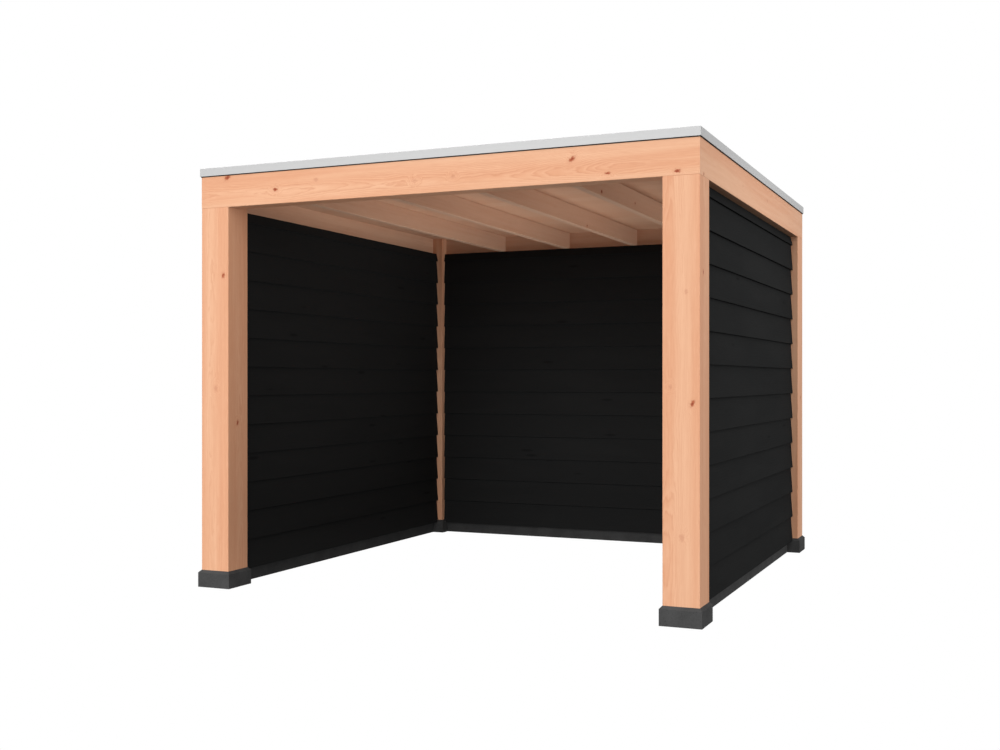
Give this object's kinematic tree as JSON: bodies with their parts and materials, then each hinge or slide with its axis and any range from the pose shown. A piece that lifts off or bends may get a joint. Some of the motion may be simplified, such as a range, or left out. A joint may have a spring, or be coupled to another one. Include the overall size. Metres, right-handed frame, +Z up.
{
  "type": "garden canopy",
  "caption": "Square timber garden canopy with a flat roof, an open front, and black lapped board walls on the other sides.",
  "frame": {"origin": "on the ground under the middle of the roof", "axes": "+Z up, the open front faces -Y, +X to the right seen from the front"},
  "size_m": [3.03, 3.03, 2.472],
  "materials": {
    "pale_timber": "planed bare softwood, fine grain with small knots",
    "deck_boards": "planed bare softwood boards",
    "stud_timber": "sawn softwood, out of sight",
    "black_boards": "black stained softwood, satin, faint grain",
    "dark_concrete": "dark grey smooth cast concrete, matt",
    "roof_trim": "folded plain aluminium sheet, satin",
    "roof_membrane": "black roofing membrane, matt"
  },
  "bodies": {
    "root": {"foot_front_left": "dark_concrete", "foot_front_right": "dark_concrete", "foot_back_left": "dark_concrete", "foot_back_right": "dark_concrete", "post_front_left": "pale_timber", "post_front_right": "pale_timber", "post_back_left": "pale_timber", "post_back_right": "pale_timber", "beam_front": "pale_timber", "beam_right": "pale_timber", "beam_back": "pale_timber", "beam_left": "pale_timber", "rafter_1": "pale_timber", "rafter_2": "pale_timber", "rafter_3": "pale_timber", "rafter_4": "pale_timber", "roof_deck": "deck_boards", "roof_membrane": "roof_membrane", "trim_front": "roof_trim", "trim_right": "roof_trim", "trim_back": "roof_trim", "trim_left": "roof_trim", "sill_left": "dark_concrete", "sill_back": "dark_concrete", "sill_right": "dark_concrete", "studs_left": "stud_timber", "studs_back": "stud_timber", "studs_right": "stud_timber", "cladding_left_outside": "black_boards", "cladding_left_inside": "black_boards", "cladding_back_outside": "black_boards", "cladding_back_inside": "black_boards", "cladding_right_outside": "black_boards", "cladding_right_inside": "black_boards"}
  },
  "joints": []
}
